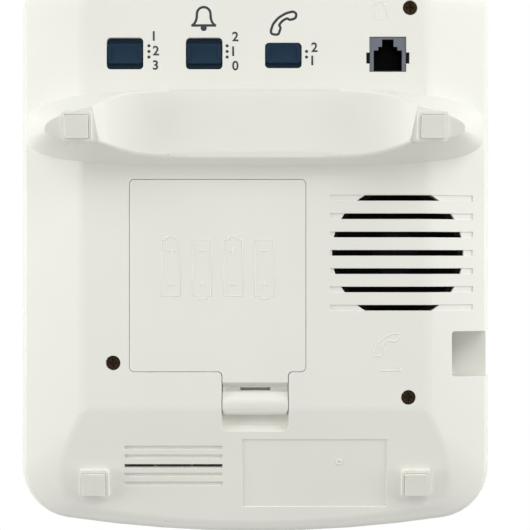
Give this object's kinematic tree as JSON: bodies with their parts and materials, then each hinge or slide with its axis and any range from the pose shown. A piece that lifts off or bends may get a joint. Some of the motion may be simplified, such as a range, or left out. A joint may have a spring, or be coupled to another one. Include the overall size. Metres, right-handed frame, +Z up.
{
  "type": "corded desk telephone",
  "caption": "Wedge-shaped push-button desk telephone with battery door, slide switches, loudspeaker grille, modular sockets, stand ridge and lift-off handset.",
  "frame": {"origin": "on the table, under the middle of the telephone's bounding box", "axes": "+Y to the rear of the telephone, +X to the user's right, +Z up from the table"},
  "size_m": [0.168, 0.2015, 0.0889],
  "materials": {
    "case_abs": "fine satin moulding",
    "navy_abs": "satin moulding",
    "dark_plastic": "satin moulding",
    "jack_grey": "satin moulding",
    "circuit_board": "solder mask",
    "silicone": "matt",
    "lamp_red": "clear moulding",
    "led_clear": "clear moulding",
    "spring_steel": "plated",
    "steel": "plated",
    "dark_steel": "blackened",
    "ferrite": "ground",
    "weight_iron": "as cast",
    "paper_black": "pressed paper",
    "lead_red": "insulated wire",
    "gold": "plated",
    "cell_wrap": "plain wrap",
    "foot_rubber": "matt",
    "black_rubber": "matt",
    "ribbon": "flat cable"
  },
  "bodies": {
    "base": {"lower_case": "case_abs", "upper_case": "case_abs", "slide_switches": "dark_plastic", "main_board": "circuit_board", "keypad_board": "circuit_board", "keypad_mat": "silicone", "ring_lamp_lens": "lamp_red", "ring_lamp_led": "led_clear", "hook_spring": "spring_steel", "hook_switch": "dark_plastic", "speaker_frame": "dark_steel", "speaker_magnet": "ferrite", "speaker_cone": "paper_black", "speaker_leads": "lead_red", "line_jack": "jack_grey", "line_jack_contacts": "gold", "handset_jack": "jack_grey", "handset_jack_contacts": "gold", "battery_cells": "cell_wrap", "battery_contacts": "spring_steel", "battery_springs": "spring_steel", "rubber_feet": "foot_rubber", "case_screws": "dark_steel", "board_screws": "spring_steel", "base_microphone": "steel", "microphone_boot": "black_rubber", "board_ribbon": "ribbon"},
    "battery_cover": {"battery_cover": "case_abs"},
    "battery_latch": {"battery_latch": "case_abs"},
    "recall_knob": {"recall_knob": "navy_abs"},
    "ringer_knob": {"ringer_knob": "navy_abs"},
    "receiver_knob": {"receiver_knob": "navy_abs"},
    "key_1": {"key_1": "navy_abs"},
    "key_2": {"key_2": "navy_abs"},
    "key_3": {"key_3": "navy_abs"},
    "key_4": {"key_4": "navy_abs"},
    "key_5": {"key_5": "navy_abs"},
    "key_6": {"key_6": "navy_abs"},
    "key_7": {"key_7": "navy_abs"},
    "key_8": {"key_8": "navy_abs"},
    "key_9": {"key_9": "navy_abs"},
    "key_star": {"key_star": "navy_abs"},
    "key_0": {"key_0": "navy_abs"},
    "key_hash": {"key_hash": "navy_abs"},
    "key_recall": {"key_recall": "navy_abs"},
    "key_redial": {"key_redial": "navy_abs"},
    "key_mute": {"key_mute": "navy_abs"},
    "key_speaker": {"key_speaker": "navy_abs"},
    "key_memory_1": {"key_memory_1": "navy_abs"},
    "key_memory_2": {"key_memory_2": "navy_abs"},
    "key_memory_3": {"key_memory_3": "navy_abs"},
    "hook_plunger": {"hook_plunger": "navy_abs"},
    "handset": {"handset_outer_shell": "case_abs", "handset_inner_shell": "case_abs", "earpiece_capsule": "dark_plastic", "handset_microphone": "steel", "handset_socket": "jack_grey", "handset_weight": "weight_iron", "handset_screws": "dark_steel"}
  },
  "joints": [
    {"name": "key_1_press", "type": "slide", "parent": "base", "child": "key_1", "axis": [0, 0.1736, -0.9848], "range_m": [0, 0.0013], "stiffness_N_per_m": 200, "springref_m": -0.001},
    {"name": "key_2_press", "type": "slide", "parent": "base", "child": "key_2", "axis": [0, 0.1736, -0.9848], "range_m": [0, 0.0013], "stiffness_N_per_m": 200, "springref_m": -0.001},
    {"name": "key_3_press", "type": "slide", "parent": "base", "child": "key_3", "axis": [0, 0.1736, -0.9848], "range_m": [0, 0.0013], "stiffness_N_per_m": 200, "springref_m": -0.001},
    {"name": "key_4_press", "type": "slide", "parent": "base", "child": "key_4", "axis": [0, 0.1736, -0.9848], "range_m": [0, 0.0013], "stiffness_N_per_m": 200, "springref_m": -0.001},
    {"name": "key_5_press", "type": "slide", "parent": "base", "child": "key_5", "axis": [0, 0.1736, -0.9848], "range_m": [0, 0.0013], "stiffness_N_per_m": 200, "springref_m": -0.001},
    {"name": "key_6_press", "type": "slide", "parent": "base", "child": "key_6", "axis": [0, 0.1736, -0.9848], "range_m": [0, 0.0013], "stiffness_N_per_m": 200, "springref_m": -0.001},
    {"name": "key_7_press", "type": "slide", "parent": "base", "child": "key_7", "axis": [0, 0.1736, -0.9848], "range_m": [0, 0.0013], "stiffness_N_per_m": 200, "springref_m": -0.001},
    {"name": "key_8_press", "type": "slide", "parent": "base", "child": "key_8", "axis": [0, 0.1736, -0.9848], "range_m": [0, 0.0013], "stiffness_N_per_m": 200, "springref_m": -0.001},
    {"name": "key_9_press", "type": "slide", "parent": "base", "child": "key_9", "axis": [0, 0.1736, -0.9848], "range_m": [0, 0.0013], "stiffness_N_per_m": 200, "springref_m": -0.001},
    {"name": "key_star_press", "type": "slide", "parent": "base", "child": "key_star", "axis": [0, 0.1736, -0.9848], "range_m": [0, 0.0013], "stiffness_N_per_m": 200, "springref_m": -0.001},
    {"name": "key_0_press", "type": "slide", "parent": "base", "child": "key_0", "axis": [0, 0.1736, -0.9848], "range_m": [0, 0.0013], "stiffness_N_per_m": 200, "springref_m": -0.001},
    {"name": "key_hash_press", "type": "slide", "parent": "base", "child": "key_hash", "axis": [0, 0.1736, -0.9848], "range_m": [0, 0.0013], "stiffness_N_per_m": 200, "springref_m": -0.001},
    {"name": "key_recall_press", "type": "slide", "parent": "base", "child": "key_recall", "axis": [0, 0.1736, -0.9848], "range_m": [0, 0.0013], "stiffness_N_per_m": 200, "springref_m": -0.001},
    {"name": "key_redial_press", "type": "slide", "parent": "base", "child": "key_redial", "axis": [0, 0.1736, -0.9848], "range_m": [0, 0.0013], "stiffness_N_per_m": 200, "springref_m": -0.001},
    {"name": "key_mute_press", "type": "slide", "parent": "base", "child": "key_mute", "axis": [0, 0.1736, -0.9848], "range_m": [0, 0.0013], "stiffness_N_per_m": 200, "springref_m": -0.001},
    {"name": "key_speaker_press", "type": "slide", "parent": "base", "child": "key_speaker", "axis": [0, 0.1736, -0.9848], "range_m": [0, 0.0013], "stiffness_N_per_m": 200, "springref_m": -0.001},
    {"name": "key_memory_1_press", "type": "slide", "parent": "base", "child": "key_memory_1", "axis": [0, 0.1736, -0.9848], "range_m": [0, 0.0013], "stiffness_N_per_m": 200, "springref_m": -0.001},
    {"name": "key_memory_2_press", "type": "slide", "parent": "base", "child": "key_memory_2", "axis": [0, 0.1736, -0.9848], "range_m": [0, 0.0013], "stiffness_N_per_m": 200, "springref_m": -0.001},
    {"name": "key_memory_3_press", "type": "slide", "parent": "base", "child": "key_memory_3", "axis": [0, 0.1736, -0.9848], "range_m": [0, 0.0013], "stiffness_N_per_m": 200, "springref_m": -0.001},
    {"name": "recall_knob_slide", "type": "slide", "parent": "base", "child": "recall_knob", "axis": [0, 0.9848, 0.1736], "range_m": [-0.002, 0.002]},
    {"name": "ringer_knob_slide", "type": "slide", "parent": "base", "child": "ringer_knob", "axis": [0, 0.9848, 0.1736], "range_m": [-0.002, 0.002]},
    {"name": "receiver_knob_slide", "type": "slide", "parent": "base", "child": "receiver_knob", "axis": [0, 0.9848, 0.1736], "range_m": [-0.0018, 0]},
    {"name": "battery_cover_hinge", "type": "hinge", "parent": "base", "child": "battery_cover", "pos_m": [0.01328, 0.02894, 0.01761], "axis": [1, 0, 0], "range_deg": [0, 60]},
    {"name": "battery_latch_slide", "type": "slide", "parent": "battery_cover", "child": "battery_latch", "axis": [0, 0.9848, 0.1736], "range_m": [0, 0.0008], "stiffness_N_per_m": 600, "springref_m": -0.0006},
    {"name": "handset_lift", "type": "slide", "parent": "base", "child": "handset", "axis": [0, -0.1736, 0.9848], "range_m": [0, 0.08]},
    {"name": "hook_plunger_slide", "type": "slide", "parent": "base", "child": "hook_plunger", "axis": [0, -0.1736, 0.9848], "range_m": [0, 0.004], "stiffness_N_per_m": 60, "springref_m": 0.006, "deforming": ["hook_spring"]}
  ],
  "couplings": [
    {"joint": "hook_plunger_slide", "follows": "handset_lift", "ratio": 0.05}
  ]
}
